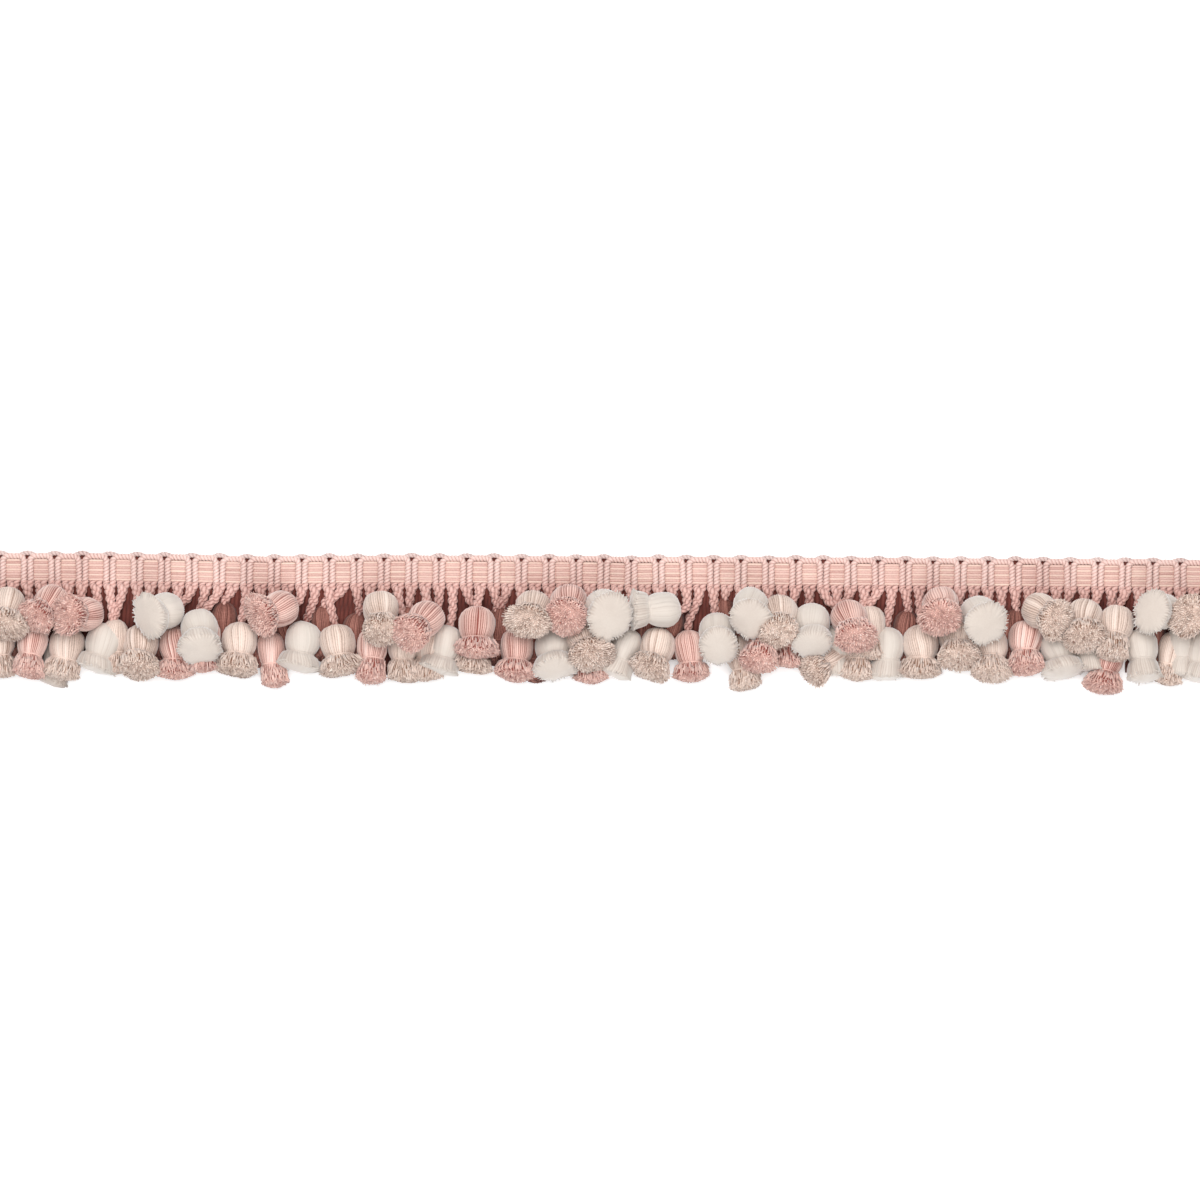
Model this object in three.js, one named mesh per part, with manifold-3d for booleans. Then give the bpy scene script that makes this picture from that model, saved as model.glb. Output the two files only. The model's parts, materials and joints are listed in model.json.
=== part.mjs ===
// Onion tassel fringe: a cut length of furnishing trim, lying face up. A woven gimp heading, twisted hanging
// loops along its lower edge, and short round tassels crowded in layers below it.
//
// Millimetres. +X runs along the heading, +Y points from the tassels up to the scalloped edge of the heading,
// and +Z away from the surface that the trim lies on. The origin is the middle of the heading's flat back.
import * as THREE from "three";
import { mergeVertices } from "three/addons/utils/BufferGeometryUtils.js";
import Module from "manifold-3d";

const wasm = await Module();
wasm.setup();
const { lerp, degToRad } = THREE.MathUtils;

// Driving dimensions.
const CELL = 11; // one repeat of the heading: a box of warp threads and the cord arch round it
const CELLS = 46;
const LENGTH = CELL * CELLS;
const LOOP_PITCH = CELL / 2; // a loop hangs below every box and below every pair of cord legs
const GAP = 0.3; // what one soft piece keeps clear of the next
const HEADING = { bottom: -6.2, top: 5.6, scallop: 0.6 };
const BAND = { bottom: -5.8, top: 4.4, thick: 1.4 };
const BOX = { wide: 5.2, bottom: -5, top: 3.2, corner: 1.3, rise: 1.6, sunk: 0.4 };
const CORD = { thick: 2.1 };
const LOOP = { wide: 4.6, neck: 3, tip: 2.2, thick: 2.2, low: 1.5, knee: 4.5, short: 5.5 };
const SWING = { neck: 0.3, knee: 0.8 }; // how much of the way across to its tassel a loop has gone there
const SPINE = { tall: 1.2, thick: 2.6, height: 2.2 }; // the close row of cord legs that leave the heading
const BULB = { radius: 6.3, half: 6.2, shoulder: 0.65, waist: 2.2 };
const BRUSH = { closed: 5.6, splayed: 7.5, long: 9, shorter: 3, dome: 0.6 };
const FACETS = 8; // sides of a tassel, one of them turned down to lie flat
const PRESS = 0.15; // how far a tassel on the surface is pressed flat
const CUTTER = 60; // a cutting solid this large reaches past whatever it trims

// The line of the heading: straight between these points, in two shallow sags.
const LINE_COLUMNS = ["x", "y"];
const LINE = rows(LINE_COLUMNS, [
  [-LENGTH / 2, 0],
  [-196, 0],
  [-166, -0.35],
  [-136, -0.9],
  [-106, -0.35],
  [-76, 0],
  [-5, 0],
  [11, -0.35],
  [27, 0],
  [LENGTH / 2, 0],
]);

// The tassels, from left to right. x and y place the middle of the bulb, and lift is how far it lies above the
// surface, on its neighbours. turn swings the brush to the right of hanging straight down, and tilt raises it
// off the surface, both in degrees. flare runs from a closed brush, 0, to a splayed one, 1, and girth thins a
// tassel that its neighbours squeeze.
const TASSEL_COLUMNS = ["yarn", "x", "y", "lift", "turn", "tilt", "flare", "girth"];
const TASSELS = rows(TASSEL_COLUMNS, [
  ["oatmeal", -242, -28.5, 0, 0, 5, 0.2, 0.9],
  ["oatmeal", -238, -15, 4.5, 0, 42, 0.7, 1],
  ["rose", -228, -29, 2.5, -10, 15, 0.3, 0.85],
  ["rose", -220.5, -13.5, 4.5, -40, 45, 0.5, 0.9],
  ["oatmeal", -214.5, -30, 0, -10, 5, 0.5, 0.95],
  ["rose", -206.5, -18.5, 4.5, -85, 58, 0.6, 0.95],
  ["cream", -199.5, -29, 0, -20, 5, 0.8, 1],
  ["oatmeal", -185, -29.5, 0, -5, 30, 0.6, 1],
  ["cream", -174.5, -17, 4.5, -65, 52, 0.9, 1],
  ["rose", -171.5, -30, 0, 0, 6, 0.7, 0.85],
  ["cream", -161.5, -23.5, 3, 5, 45, 0.8, 1.05],
  ["oatmeal", -145.5, -28, 0, -5, 14, 0.6, 1],
  ["rose", -133, -31.5, 0, 5, 5, 0.2, 0.75],
  ["rose", -128.5, -16, 4.5, -70, 38, 0.7, 1],
  ["cream", -120, -27.5, 0, -10, 12, 0.7, 1],
  ["oatmeal", -106.5, -28.5, 0, 10, 12, 0.8, 1],
  ["rose", -92.5, -30, 0, 0, 18, 0.2, 0.85],
  ["oatmeal", -89, -15.5, 4.5, 5, 42, 0.4, 1],
  ["oatmeal", -80, -29.5, 0, 0, 6, 0.3, 0.85],
  ["rose", -70.5, -19.5, 8, -45, 48, 0.4, 1],
  ["cream", -63, -28.5, 0, -15, 5, 0.8, 1],
  ["rose", -50.5, -21, 4.5, 0, 12, 0.8, 1],
  ["rose", -34.5, -30, 0, -5, 15, 0.8, 0.9],
  ["oatmeal", -28, -15, 4.5, -15, 60, 0.7, 1],
  ["cream", -20, -30, 0, 5, 36, 0.8, 1],
  ["rose", -14, -12.5, 4.5, -5, 58, 0.8, 1],
  ["oatmeal", -8, -26.5, 2.5, 25, 45, 0.9, 1],
  ["cream", 0, -15, 4.5, 40, 68, 1, 1.1],
  ["cream", 9, -29, 0, -20, 5, 0.4, 0.9],
  ["oatmeal", 22, -29.5, 0, -20, 25, 0.8, 1],
  ["cream", 24.5, -15.5, 4.5, -90, 8, 0.5, 1],
  ["rose", 34.5, -30, 0, 5, 6, 0.8, 0.85],
  ["cream", 45.5, -23.5, 1.5, 5, 56, 0.8, 1],
  ["oatmeal", 55, -32.5, 0, 10, 5, 0.4, 0.8],
  ["cream", 59, -13.5, 4.5, -10, 60, 0.9, 1],
  ["rose", 63.5, -25.5, 2.5, -10, 38, 0.5, 0.9],
  ["oatmeal", 71, -16, 4.5, -5, 52, 0.3, 0.95],
  ["cream", 83, -19.5, 4, 5, 42, 0.5, 1],
  ["oatmeal", 92, -33.5, 0.5, -55, 32, 0.6, 0.8],
  ["rose", 98, -18, 4.5, 20, 48, 0.5, 1],
  ["cream", 113.5, -28.5, 0, 0, 5, 0.3, 0.95],
  ["oatmeal", 127, -27.5, 0, 0, 5, 0.6, 1],
  ["rose", 134.5, -12.5, 4.5, 0, 58, 0.8, 1],
  ["oatmeal", 141, -24.5, 0, 5, 40, 0.6, 1],
  ["cream", 150, -16.5, 5, 35, 66, 0.9, 1.05],
  ["oatmeal", 155, -28.5, 0, 0, 28, 0.4, 0.95],
  ["rose", 169, -25.5, 0, 0, 22, 0.3, 0.95],
  ["oatmeal", 174, -15, 6, 60, 50, 0.7, 1],
  ["cream", 182, -29, 0, 10, 22, 0.9, 1],
  ["oatmeal", 192.5, -17, 4.5, -5, 44, 0.6, 1],
  ["rose", 202, -33.5, 0, -10, 15, 0.7, 0.9],
  ["oatmeal", 205, -19, 4.5, -10, 26, 0.1, 0.95],
  ["cream", 215, -28.5, 2.5, 5, 18, 0.3, 0.92],
  ["cream", 223.5, -15, 4.5, -90, 62, 0.7, 1],
  ["oatmeal", 227.5, -29.5, 0, -10, 5, 0.4, 0.72],
  ["oatmeal", 238.5, -16, 4.5, -85, 60, 0.7, 1],
  ["cream", 239.5, -29, 0, -5, 5, 0.5, 0.95],
]);

const matte = (color) => new THREE.MeshStandardMaterial({ color, roughness: 0.9, metalness: 0 });
const MATERIAL = {
  warp: matte(0xeccabb),
  gimp: matte(0xe6b8ae),
  loop: matte(0xdba79c),
  rose: matte(0xdca597),
  cream: matte(0xebe0d6),
  oatmeal: matte(0xd9bfad),
};

function rows(columns, table) {
  return table.map((row) => Object.fromEntries(columns.map((name, i) => [name, row[i]])));
}

function sag(x) {
  const next = LINE.findIndex((point) => point.x >= x);
  if (next < 1) return LINE.at(next).y;
  const along = (x - LINE[next - 1].x) / (LINE[next].x - LINE[next - 1].x);
  return lerp(LINE[next - 1].y, LINE[next].y, along);
}

// A closed geometry as a solid that can be joined or cut, and back again.
function solidOf(geometry) {
  const bare = geometry.clone();
  bare.deleteAttribute("normal");
  bare.deleteAttribute("uv");
  const merged = mergeVertices(bare);
  const vertProperties = new Float32Array(merged.attributes.position.array);
  const triVerts = new Uint32Array(merged.index.array);
  return new wasm.Manifold(new wasm.Mesh({ numProp: 3, vertProperties, triVerts }));
}

function geometryOf(solid) {
  const { vertProperties, triVerts } = solid.getMesh();
  const geometry = new THREE.BufferGeometry();
  geometry.setAttribute("position", new THREE.BufferAttribute(vertProperties, 3));
  geometry.setIndex(new THREE.BufferAttribute(triVerts, 1));
  geometry.computeVertexNormals();
  return geometry;
}

// A strip along the whole heading, from a level lower edge up to points given as [x, height].
function strip(bottom, topPoints, depth) {
  const shape = new THREE.Shape(LINE.map(({ x, y }) => new THREE.Vector2(x, bottom + y)));
  for (const [x, height] of topPoints.toReversed()) shape.lineTo(x, height + sag(x));
  shape.closePath();
  return new THREE.ExtrudeGeometry(shape, { depth, bevelEnabled: false });
}

const level = (height) => LINE.map(({ x }) => [x, height]);

const boxCentres = Array.from({ length: CELLS }, (_, i) => CELL * (i + 0.5) - LENGTH / 2);

// The boxes of warp threads, or the windows that the cord leaves round them, with cut upper corners.
function boxRow(spread, depth) {
  const half = BOX.wide / 2 + spread;
  const shapes = boxCentres.map((x) => {
    const bottom = BOX.bottom - spread + sag(x);
    const top = BOX.top + spread + sag(x);
    const shape = new THREE.Shape();
    shape.moveTo(x - half, bottom);
    shape.lineTo(x + half, bottom);
    shape.lineTo(x + half, top - BOX.corner);
    shape.lineTo(x + half - BOX.corner, top);
    shape.lineTo(x - half + BOX.corner, top);
    shape.lineTo(x - half, top - BOX.corner);
    shape.closePath();
    return shape;
  });
  return new THREE.ExtrudeGeometry(shapes, { depth, bevelEnabled: false });
}

// The woven band, with a raised box of warp threads in every repeat.
function headingBand() {
  const flat = strip(BAND.bottom, level(BAND.top), BAND.thick);
  const boxes = boxRow(0, BOX.rise + BOX.sunk).translate(0, 0, BAND.thick - BOX.sunk);
  return geometryOf(solidOf(flat).add(solidOf(boxes)));
}

// The upper edge of the cord: level over each box, with a peak over the legs between two boxes.
function scallops() {
  const half = BOX.wide / 2;
  const peak = HEADING.top + HEADING.scallop;
  const points = boxCentres.flatMap((x) => [
    [x - CELL / 2, peak],
    [x - half, HEADING.top],
    [x + half, HEADING.top],
  ]);
  return [...points, [LENGTH / 2, peak]];
}

// The gimp cord on top of the band: arches side by side, so one openwork strip with a window round each box.
function headingCord() {
  const cord = strip(HEADING.bottom, scallops(), CORD.thick);
  const windows = boxRow(GAP, CUTTER).translate(0, 0, -CUTTER / 2);
  const openwork = geometryOf(solidOf(cord).subtract(solidOf(windows)));
  return openwork.translate(0, 0, BAND.thick + GAP);
}

const vector = (x, y, z) => new THREE.Vector3(x, y, z);

// A closed bar through rectangular sections, each with a middle, two directions and two widths.
function bar(sections) {
  const last = sections.length - 1;
  const geometry = new THREE.BoxGeometry(1, last, 1, 1, last, 1);
  const position = geometry.attributes.position;
  for (let i = 0; i < position.count; i++) {
    const section = sections[Math.round(last / 2 - position.getY(i))];
    const point = section.middle.clone();
    point.addScaledVector(section.side, position.getX(i) * section.wide);
    point.addScaledVector(section.up, position.getZ(i) * section.thick);
    position.setXYZ(i, point.x, point.y, point.z);
  }
  return geometry;
}

// Where a tassel's head points, and its two other directions.
function frameOf(tassel) {
  const turn = degToRad(tassel.turn);
  const tilt = degToRad(tassel.tilt);
  const rotation = new THREE.Euler(-tilt, 0, turn, "ZXY");
  return {
    rotation,
    side: vector(1, 0, 0).applyEuler(rotation),
    head: vector(0, 1, 0).applyEuler(rotation),
    up: vector(0, 0, 1).applyEuler(rotation),
  };
}

// The middle of its bulb: on the surface a flat side lies down, and lift raises it from there.
function middleOf({ x, y, lift, girth }) {
  return vector(x, y, BULB.radius * girth * Math.cos(Math.PI / FACETS) - PRESS + lift);
}

const headOf = (tassel) => middleOf(tassel).addScaledVector(frameOf(tassel).head, BULB.half + GAP);

const loopX = (number) => LOOP_PITCH * number - LENGTH / 2;
const LOOPS = 2 * CELLS - 1;

// Each tassel takes the free loop nearest to its head, from left to right.
function hang(tassels) {
  const byLoop = new Map();
  const heads = tassels.map((tassel) => ({ tassel, x: headOf(tassel).x }));
  for (const { tassel, x } of heads.sort((a, b) => a.x - b.x)) {
    let number = Math.round((x + LENGTH / 2) / LOOP_PITCH);
    while (byLoop.has(number)) number += 1;
    byLoop.set(Math.min(number, LOOPS), tassel);
  }
  return byLoop;
}

// One loop of the comb: two cord legs that close to a rope, down to the head of its tassel, or a short loop
// under the pile where the tassel is too far hidden to be a piece of its own.
function loopBar(number, tassel) {
  const x = loopX(number);
  const root = HEADING.bottom - GAP - SPINE.tall / 2 + sag(x);
  const across = { side: vector(1, 0, 0), up: vector(0, 0, 1), thick: LOOP.thick };
  const sections = [{ ...across, middle: vector(x, root, SPINE.height), wide: LOOP.wide }];
  if (!tassel) {
    const middle = vector(x, root - LOOP.short, LOOP.low);
    return bar([...sections, { ...across, middle, wide: LOOP.tip }]);
  }
  const { side, up } = frameOf(tassel);
  const tip = headOf(tassel);
  if (root - tip.y > 2 * LOOP.knee) {
    const neck = vector(lerp(x, tip.x, SWING.neck), root - LOOP.knee, LOOP.low);
    const knee = vector(lerp(x, tip.x, SWING.knee), tip.y + LOOP.knee / 2, LOOP.low);
    sections.push({ ...across, middle: neck, wide: LOOP.neck });
    sections.push({ ...across, middle: knee, wide: LOOP.tip });
  }
  sections.push({ middle: tip, side, up, wide: LOOP.tip, thick: LOOP.tip });
  return bar(sections);
}

// All the hanging loops: one comb along the lower edge of the heading.
function loopComb(byLoop) {
  const top = HEADING.bottom - GAP;
  const spine = strip(top - SPINE.tall, level(top), SPINE.thick);
  let comb = solidOf(spine.translate(0, 0, SPINE.height - SPINE.thick / 2));
  for (let number = 1; number <= LOOPS; number++)
    comb = comb.add(solidOf(loopBar(number, byLoop.get(number))));
  return geometryOf(comb);
}

// A tassel about its own axis, head up: bulb, tied neck and cut brush.
function tasselShape({ flare, girth }) {
  const radius = BULB.radius * girth;
  const splay = lerp(BRUSH.closed, BRUSH.splayed, flare);
  const end = -BULB.half - BRUSH.long + BRUSH.shorter * flare;
  const profile = [
    [0, end - BRUSH.dome],
    [(splay * (1 + girth)) / 2, end],
    [BULB.shoulder * radius, -BULB.half],
    [radius, -BULB.waist],
    [radius, BULB.waist],
    [BULB.shoulder * radius, BULB.half - GAP / 2],
    [0, BULB.half],
  ].map(([r, y]) => new THREE.Vector2(r, y));
  return new THREE.LatheGeometry(profile, FACETS).rotateY(Math.PI / FACETS);
}

// A tassel where it lies, pressed flat where it meets the surface.
function tasselMesh(tassel, number) {
  const mesh = new THREE.Mesh(tasselShape(tassel), MATERIAL[tassel.yarn]);
  mesh.name = `tassel_${String(number).padStart(2, "0")}`;
  mesh.position.copy(middleOf(tassel));
  mesh.rotation.copy(frameOf(tassel).rotation);
  mesh.updateMatrixWorld();
  const surface = new THREE.BoxGeometry(CUTTER, CUTTER, CUTTER);
  surface.translate(tassel.x, tassel.y, -CUTTER / 2);
  surface.applyMatrix4(mesh.matrixWorld.clone().invert());
  mesh.geometry = geometryOf(solidOf(mesh.geometry).subtract(solidOf(surface)));
  return mesh;
}

function named(name, geometry, material) {
  const mesh = new THREE.Mesh(geometry, material);
  mesh.name = name;
  return mesh;
}

const fringe = new THREE.Group();
const byLoop = hang(TASSELS);
fringe.add(named("heading_band", headingBand(), MATERIAL.warp));
fringe.add(named("heading_cord", headingCord(), MATERIAL.gimp));
fringe.add(named("loops", loopComb(byLoop), MATERIAL.loop));
byLoop.forEach((tassel, number) => fringe.add(tasselMesh(tassel, number)));

export default fringe;
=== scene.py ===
# %% [markdown]
# # An onion tassel fringe
# This file dresses a cut length of furnishing fringe. Three kinds of yarn work make it up:
# - a heading, where fine warp threads lie over a ribbon and a twisted cord runs over them in arches,
# - a row of hanging loops, each made of two lengths of that cord twisted together,
# - short round tassels, which the trade calls onions, piled in layers below the heading.
#
# The construction comes from the CAD frame. It says where each tassel lies, which way it points and how wide
# it is, and this file makes the yarn there. Lengths below are in millimetres, and MM turns them into metres.

import json
import math
import random

import bmesh
import bpy
from mathutils import Matrix, Vector, noise


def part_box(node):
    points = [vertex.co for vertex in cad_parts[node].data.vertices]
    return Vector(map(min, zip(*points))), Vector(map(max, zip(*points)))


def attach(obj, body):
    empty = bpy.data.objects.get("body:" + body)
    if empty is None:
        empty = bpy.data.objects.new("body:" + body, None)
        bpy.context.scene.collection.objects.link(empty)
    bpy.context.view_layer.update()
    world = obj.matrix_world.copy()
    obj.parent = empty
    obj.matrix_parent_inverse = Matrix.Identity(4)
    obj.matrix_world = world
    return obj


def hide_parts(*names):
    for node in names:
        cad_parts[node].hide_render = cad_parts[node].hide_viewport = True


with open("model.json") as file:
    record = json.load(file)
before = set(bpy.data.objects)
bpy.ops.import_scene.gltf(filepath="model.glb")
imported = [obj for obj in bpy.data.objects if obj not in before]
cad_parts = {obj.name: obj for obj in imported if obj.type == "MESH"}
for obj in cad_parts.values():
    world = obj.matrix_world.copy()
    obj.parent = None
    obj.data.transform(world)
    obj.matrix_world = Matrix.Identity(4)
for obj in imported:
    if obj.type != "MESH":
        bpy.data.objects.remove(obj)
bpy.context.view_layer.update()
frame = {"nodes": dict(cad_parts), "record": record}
MM = 0.001
FULL_TURN = 2 * math.pi

# %% [markdown]
# ## The repeat
# A gimp heading is a plain repeat: one arch of cord round one box of warp threads. Measuring the repeat from
# the frame, and not typing its places in, keeps the yarn on the CAD pieces if their size ever changes. The
# lower edge of the band also gives the line of the heading, which isn't quite straight on soft goods.

# %% Measure the heading
CELLS = 46
band_low, band_high = (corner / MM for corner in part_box("heading_band"))
CELL = (band_high.x - band_low.x) / CELLS
LOOP_PITCH = CELL / 2
cell_centres = [band_low.x + CELL * (i + 0.5) for i in range(CELLS)]
cell_edges = [band_low.x + CELL * i for i in range(1, CELLS)]
band_points = {tuple(round(c / MM, 2) for c in v.co) for v in frame["nodes"]["heading_band"].data.vertices}
lower_edge = sorted((x, y) for x, y, z in band_points if z == 0 and y < -3)
BAND_BOTTOM = lower_edge[0][1]
BAND_TOP = max(y for x, y, z in band_points if z == 0)


def line(x):
    """How far the heading lies above its straight line at x."""
    x = min(max(x, lower_edge[0][0]), lower_edge[-1][0])
    for (x0, y0), (x1, y1) in zip(lower_edge, lower_edge[1:]):
        if x <= x1:
            return y0 + (y1 - y0) * (x - x0) / (x1 - x0) - BAND_BOTTOM


print(f"{CELLS} repeats of {CELL:.1f} mm, band from {BAND_BOTTOM} to {BAND_TOP}")

# %% [markdown]
# ## The tassels in the frame
# Each CAD tassel is a coarse turned solid with eight sides. Its two end points are the only vertices where
# eight faces meet, so they can be found on the mesh, and they give the axis. The ring round the cut end is
# the wider one, which tells the head from the brush. The bulb's radius and the length of the brush follow.
# Reading them off the mesh is safer than repeating a table of places in two files.

# %% Read each tassel's place and size
BULB_HALF = 6.2  # from the middle of a bulb to its head
SIDES = 8
HEAD_RING = 0.65  # of the bulb's radius: the first ring of vertices round the head


def unevenness(vertex):
    """How much the six longest edges at a vertex differ; next to nothing at an end point."""
    lengths = sorted(edge.calc_length() for edge in vertex.link_edges)
    return 1 - lengths[-6] / lengths[-1]


def measure(node):
    """The middle, head direction, radius and total length of a CAD tassel, in millimetres."""
    bm = bmesh.new()
    bm.from_mesh(node.data)
    bmesh.ops.remove_doubles(bm, verts=bm.verts, dist=0.01 * MM)
    ends = sorted((v for v in bm.verts if len(v.link_edges) >= SIDES), key=unevenness)[:2]
    rings = sorted((max(e.calc_length() for e in end.link_edges) / MM, end.co / MM) for end in ends)
    (head_ring, head), (_, tail) = rings
    bm.free()
    up = (head - tail).normalized()
    middle = head - up * BULB_HALF
    return {"middle": middle, "up": up, "radius": head_ring / HEAD_RING, "long": (head - tail).length}


slots = {part["node"]: part["material_slot"] for part in frame["record"]["subparts"]}
tassels = []
for name in sorted(n for n in frame["nodes"] if n.startswith("tassel_")):
    tassel = measure(frame["nodes"][name])
    tassels.append({**tassel, "node": name, "loop": int(name[-2:]), "yarn": slots[name]})
radii = [t["radius"] for t in tassels]
print(f"{len(tassels)} tassels with a bulb radius of {min(radii):.1f} to {max(radii):.1f} mm")

# %% [markdown]
# ## Yarn materials
# Dyed yarn isn't one colour. Some strands take the dye better, the grooves between strands are in shade,
# and fine fibres break up the light. A colour ramp driven by a value on each vertex, tone, does this, with
# the
# shade of the grooves painted in: 0 is a groove, 0.5 a plain strand and 1 a pale one. A noise in Object
# coordinates moves the tone a little from place to place, and a finer one makes the fibres as bump. The
# sheen is the soft edge light of cut fibre. A picture texture could do the same, but the attribute follows
# every strand wherever its tassel points.

# %% Make the yarn materials
PATCH_SCALE, FLECK_SCALE, FIBRE_SCALE = 60, 1500, 4000.0  # noise cells in a metre
FIBRE_HEIGHT = 0.1
SHEEN_ROUGHNESS = 0.5


def colour(code):
    """A linear colour from the usual two-digit hex values."""
    values = [int(code[i : i + 2], 16) / 255 for i in (0, 2, 4)]
    return (*[v / 12.92 if v <= 0.04045 else ((v + 0.055) / 1.055) ** 2.4 for v in values], 1)


def yarn(name, groove, body, pale, drift=0.2, fleck=0.2, roughness=0.8, sheen=0.3, fibre=0.2):
    """A yarn finish: three shades over the tone, with patches, flecks and fibres of given strength."""
    material = bpy.data.materials.new(name)
    material.use_nodes = True
    tree = material.node_tree
    shader = tree.nodes["Principled BSDF"]
    shader.inputs["Roughness"].default_value = roughness
    shader.inputs["Sheen Weight"].default_value = sheen
    shader.inputs["Sheen Roughness"].default_value = SHEEN_ROUGHNESS

    def node(kind, **inputs):
        made = tree.nodes.new(kind)
        for key, value in inputs.items():
            made.inputs[key].default_value = value
        return made

    def joined(operation, first, second, amount=None):
        made = node("ShaderNodeMath")
        made.operation = operation
        tree.links.new(first, made.inputs[0])
        if amount is None:
            tree.links.new(second, made.inputs[1])
        else:
            made.inputs[1].default_value = amount
        return made.outputs[0]

    place = node("ShaderNodeTexCoord").outputs["Object"]
    tone = node("ShaderNodeAttribute")
    tone.attribute_name = "tone"
    total = tone.outputs["Fac"]
    for scale, strength in ((PATCH_SCALE, drift), (FLECK_SCALE, fleck)):
        patches = node("ShaderNodeTexNoise", Scale=scale, Detail=2.0)
        tree.links.new(place, patches.inputs["Vector"])
        centred = joined("SUBTRACT", patches.outputs["Fac"], None, 0.5)
        total = joined("ADD", total, joined("MULTIPLY", centred, None, 2 * strength))
    ramp = node("ShaderNodeValToRGB")
    stops = ramp.color_ramp.elements
    stops[0].color, stops[1].color = colour(groove), colour(pale)
    stops.new(0.5).color = colour(body)
    tree.links.new(total, ramp.inputs["Fac"])
    tree.links.new(ramp.outputs["Color"], shader.inputs["Base Color"])
    fibres = node("ShaderNodeTexNoise", Scale=FIBRE_SCALE, Detail=1.0)
    tree.links.new(place, fibres.inputs["Vector"])
    bump = node("ShaderNodeBump", Strength=fibre, Distance=FIBRE_HEIGHT * MM)
    tree.links.new(fibres.outputs["Fac"], bump.inputs["Height"])
    tree.links.new(bump.outputs["Normal"], shader.inputs["Normal"])
    return material


finish = {
    "rose": yarn("rose yarn", "883f33", "ecc5b9", "f9e9e2", drift=0.2, fleck=0.1, sheen=0.4),
    "cream": yarn("cream yarn", "9a8173", "d3c8be", "ddd4cc", drift=0.1, fleck=0.05, sheen=0.8, fibre=0.1),
    "oatmeal": yarn("oatmeal yarn", "845e48", "e6d0c3", "f3e7dd", drift=0.2, fleck=0.15, sheen=0.4),
    "gimp": yarn("gimp cord", "97625a", "e2c0b7", "f1dcd5", roughness=0.6, fibre=0.1),
    "edge": yarn("edge cord", "85625e", "cfb5af", "e0d0cb", roughness=0.6, fibre=0.1),
    # The loops are the same cord as the arches, in a darker copy that is painted shade.
    "loop": yarn("loop cord in painted shade", "74372e", "dbafa5", "eed1ca", roughness=0.6, fibre=0.1),
    "warp": yarn("warp threads", "a9746b", "d9b4aa", "e9d3c2", drift=0.05, roughness=0.6),
    # A real ribbon under the heading, whose dark red is painted shade for the notches between the arches.
    "ribbon": yarn("backing ribbon in painted shade", "552721", "84453b", "a0685e", sheen=0.1, fibre=0.4),
    # Rose yarn darkened as painted shade, for tassels deep under the pile.
    "dusky": yarn("rose yarn in painted shade", "56281f", "a66f62", "c99a8d", sheen=0.1),
    # Yarn darkened to a deep red as painted shade, for the curtain behind the loops.
    "shaded": yarn("painted shade yarn", "300e09", "62281e", "7a4236", sheen=0.1),
}
print(len(finish), "finishes")

# %% [markdown]
# ## Pieces from a bmesh
# Every piece below ends the same way: its normals are turned outwards, its mesh becomes an object at the
# origin, with its place in the mesh, and it rides on the frame's one body.

# %% Turn a bmesh into a piece
counts = {}  # the triangles of each piece


def piece(name, bm, slot_name, material=None, nodes=()):
    """An object made of the bmesh in metres, which stands for the CAD nodes given."""
    bmesh.ops.recalc_face_normals(bm, faces=bm.faces)
    for face in bm.faces:
        face.smooth = True
    mesh = bpy.data.meshes.new(name)
    bm.to_mesh(mesh)
    bm.free()
    mesh.materials.append(material or finish[slot_name])
    made = bpy.data.objects.new(name, mesh)
    bpy.context.scene.collection.objects.link(made)
    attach(made, "root")
    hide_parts(*nodes)
    mesh.calc_loop_triangles()
    counts[name] = len(mesh.loop_triangles)
    return made


def new_bmesh():
    """An empty bmesh with the tone layer that the yarn materials read."""
    bm = bmesh.new()
    return bm, bm.verts.layers.float.new("tone")


print("slots:", sorted(set(slots.values())))

# %% [markdown]
# ## The onion tassels
# A real one is a hank of yarn, folded over the end of its loop. Bound at the neck, the upper part spreads
# round as the bulb, and the lower part is cut to a brush, whose ends splay into a velvety face.
#
# The bulb, neck and sides of the brush are one turned surface here: a half outline, spun round the axis. It
# has two columns for each strand, one on the ridge and one in the groove, so that the strands are shape and
# not only colour. A tube for every fold of yarn would look the same from outside at ten times the faces.

# %% Draw the half outline
STRANDS = 44
PLUMP = 1.15  # yarn stands this much proud of the coarse CAD bulb
LONGEST = 22.0  # a tassel with a closed brush, from head to cut end
SHORTER = 3.0  # what full splay takes off that
NECK = (-1.08, 0.76)  # height and radius, as shares of the bulb's
BULB_OUTLINE = [(1.04, 0.12), (0.99, 0.36), (0.83, 0.66), (0.57, 0.88), (0.2, 1.0), (-0.2, 1.01)]
BULB_OUTLINE += [(-0.55, 0.97), (-0.85, 0.87), (-1.0, 0.79), NECK]
BRUSH_RINGS = (0.15, 0.4, 0.75, 1.0)  # shares of the way from the neck to the rim
FACE_RINGS = (0.8, 0.45)  # shares of the rim's radius
TIP = 0.2  # how far the middle of the face stands out from the last ring

# Each pair is the value for a closed brush and what full splay adds to it.
RIM = (0.95, 0.26)  # radius over that of the bulb
CROWN = (1.5, 0.6)  # how far the middle of the cut face stands out beyond its rim
PAST_CUT = (0.1, 0.4)  # how far the yarn reaches past the CAD end
OPENING_POWER = (0.62, -0.38)  # a lower one opens sooner


def between(first, last, share):
    """The value at a share of the way from the first to the last."""
    return first + (last - first) * share


def splayed(pair, flare):
    """The value of a brush that is splayed by flare, from 0 to 1."""
    return pair[0] + pair[1] * flare


def opening(share, flare):
    """How far a brush has opened, from 0 to 1, at a share of the way from its neck to its end."""
    return math.sin(share * math.pi / 2) ** splayed(OPENING_POWER, flare)


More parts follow.
